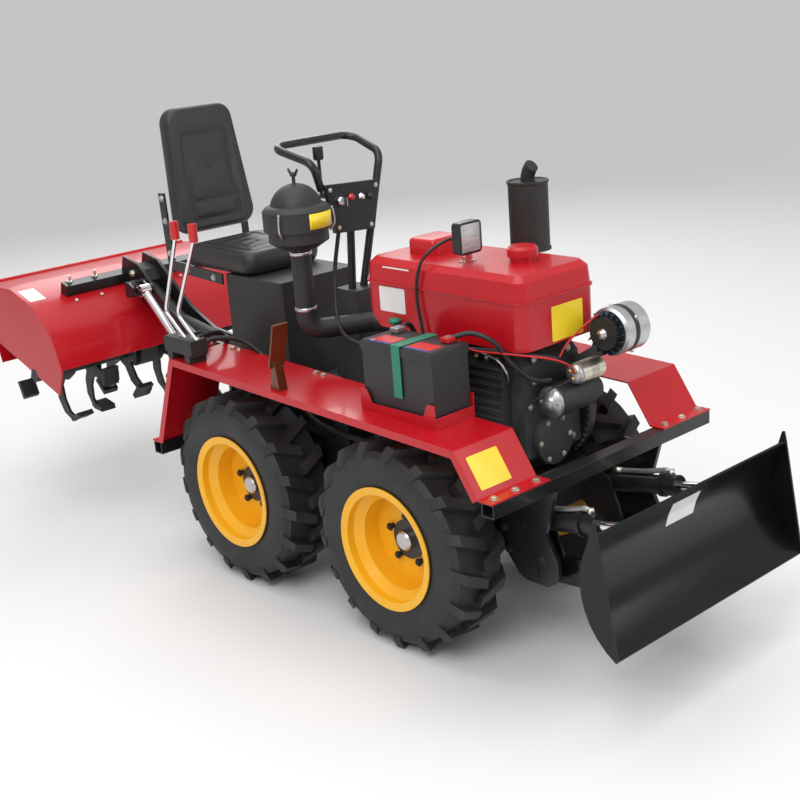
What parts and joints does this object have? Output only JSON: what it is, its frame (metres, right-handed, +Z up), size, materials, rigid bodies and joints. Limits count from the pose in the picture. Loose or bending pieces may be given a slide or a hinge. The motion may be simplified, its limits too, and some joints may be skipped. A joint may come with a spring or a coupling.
{
  "type": "mini tractor",
  "caption": "Open-frame ride-on mini tractor with lugged wheels, a hydraulic dozer blade in front and a raised rotary tiller behind.",
  "frame": {"origin": "on the ground under the middle of the machine's length, on its centre plane", "axes": "+X forward, +Y to the operator's left, +Z up"},
  "size_m": [2.8062, 0.86, 1.362],
  "materials": {
    "black_paint": "gloss",
    "yellow_paint": "gloss",
    "red_paint": "gloss",
    "engine_grey": "satin",
    "dark_iron": "satin",
    "alloy": "satin",
    "chrome": "polished",
    "tyre_rubber": "matte",
    "vinyl": "satin",
    "battery_case": "matte",
    "brown_plate": "satin"
  },
  "bodies": {
    "machine": {"chassis_frame": "black_paint", "front_beam": "black_paint", "fender_right": "red_paint", "fender_left": "red_paint", "gearbox": "engine_grey", "front_axle_case": "dark_iron", "rear_axle_case": "dark_iron", "engine_block": "engine_grey", "flywheel": "dark_iron", "fuel_tank": "red_paint", "fuel_cap": "red_paint", "muffler": "dark_iron", "air_cleaner": "black_paint", "alternator": "alloy", "starter_motor": "dark_iron", "battery": "battery_case", "battery_tray": "red_paint", "work_lamp": "black_paint", "handle_frame": "black_paint", "gear_lever": "black_paint", "seat_box": "black_paint", "seat_cushion": "vinyl", "seat_back": "vinyl", "seat_straps": "black_paint", "control_valve": "dark_iron", "foot_pedal": "brown_plate"},
    "blade": {"dozer_blade": "black_paint"},
    "tiller": {"tiller_arm": "black_paint", "tiller_hood": "red_paint", "tiller_drive_case": "dark_iron"},
    "rotor": {"tiller_rotor": "dark_iron"},
    "rear_board": {"tiller_rear_board": "red_paint"},
    "tiller_barrel": {"tiller_ram_barrel": "black_paint"},
    "tiller_rod": {"tiller_ram_rod": "chrome"},
    "wheel_front_right": {"rim_front_right": "yellow_paint", "tyre_front_right": "tyre_rubber"},
    "wheel_front_left": {"rim_front_left": "yellow_paint", "tyre_front_left": "tyre_rubber"},
    "wheel_rear_right": {"rim_rear_right": "yellow_paint", "tyre_rear_right": "tyre_rubber"},
    "wheel_rear_left": {"rim_rear_left": "yellow_paint", "tyre_rear_left": "tyre_rubber"},
    "blade_barrel_right": {"blade_ram_barrel_right": "black_paint"},
    "blade_rod_right": {"blade_ram_rod_right": "chrome"},
    "blade_barrel_left": {"blade_ram_barrel_left": "black_paint"},
    "blade_rod_left": {"blade_ram_rod_left": "chrome"}
  },
  "joints": [
    {"name": "wheel_front_right_spin", "type": "hinge", "parent": "machine", "child": "wheel_front_right", "pos_m": [0.6556, -0.312, 0.287], "axis": [0, 1, 0], "continuous": true},
    {"name": "wheel_front_left_spin", "type": "hinge", "parent": "machine", "child": "wheel_front_left", "pos_m": [0.6556, 0.312, 0.287], "axis": [0, 1, 0], "continuous": true},
    {"name": "wheel_rear_right_spin", "type": "hinge", "parent": "machine", "child": "wheel_rear_right", "pos_m": [-0.0214, -0.312, 0.287], "axis": [0, 1, 0], "continuous": true},
    {"name": "wheel_rear_left_spin", "type": "hinge", "parent": "machine", "child": "wheel_rear_left", "pos_m": [-0.0214, 0.312, 0.287], "axis": [0, 1, 0], "continuous": true},
    {"name": "blade_lift", "type": "hinge", "parent": "machine", "child": "blade", "pos_m": [1.0051, 0, 0.252], "axis": [0, -1, 0], "range_deg": [-30, 18]},
    {"name": "blade_ram_right_swing", "type": "hinge", "parent": "machine", "child": "blade_barrel_right", "pos_m": [0.9591, -0.161, 0.372], "axis": [0, -1, 0], "range_deg": [-28, 17]},
    {"name": "blade_ram_right_slide", "type": "slide", "parent": "blade_barrel_right", "child": "blade_rod_right", "axis": [0.9855, 0, 0.1696], "range_m": [-0.039, 0.065]},
    {"name": "blade_ram_left_swing", "type": "hinge", "parent": "machine", "child": "blade_barrel_left", "pos_m": [0.9591, 0.161, 0.372], "axis": [0, -1, 0], "range_deg": [-28, 17]},
    {"name": "blade_ram_left_slide", "type": "slide", "parent": "blade_barrel_left", "child": "blade_rod_left", "axis": [0.9855, 0, 0.1696], "range_m": [-0.039, 0.065]},
    {"name": "tiller_lift", "type": "hinge", "parent": "machine", "child": "tiller", "pos_m": [-0.3729, 0, 0.54], "axis": [0, 1, 0], "range_deg": [-22, 8]},
    {"name": "tiller_ram_swing", "type": "hinge", "parent": "machine", "child": "tiller_barrel", "pos_m": [-0.3979, -0.092, 0.305], "axis": [0, 1, 0], "range_deg": [-18.5, 7]},
    {"name": "tiller_ram_slide", "type": "slide", "parent": "tiller_barrel", "child": "tiller_rod", "axis": [-0.7414, 0, 0.6711], "range_m": [-0.082, 0.031]},
    {"name": "rotor_spin", "type": "hinge", "parent": "tiller", "child": "rotor", "pos_m": [-1.1079, 0, 0.474], "axis": [0, 1, 0], "continuous": true},
    {"name": "rear_board_swing", "type": "hinge", "parent": "tiller", "child": "rear_board", "pos_m": [-1.3911, 0, 0.76509], "axis": [0, 1, 0], "range_deg": [-10, 60]}
  ],
  "couplings": [
    {"joint": "blade_ram_right_swing", "follows": "blade_lift", "ratio": 0.9},
    {"joint": "blade_ram_right_slide", "follows": "blade_lift", "m_per_rad": -0.12},
    {"joint": "blade_ram_left_swing", "follows": "blade_lift", "ratio": 0.9},
    {"joint": "blade_ram_left_slide", "follows": "blade_lift", "m_per_rad": -0.12},
    {"joint": "tiller_ram_swing", "follows": "tiller_lift", "ratio": 0.81},
    {"joint": "tiller_ram_slide", "follows": "tiller_lift", "m_per_rad": 0.204}
  ]
}
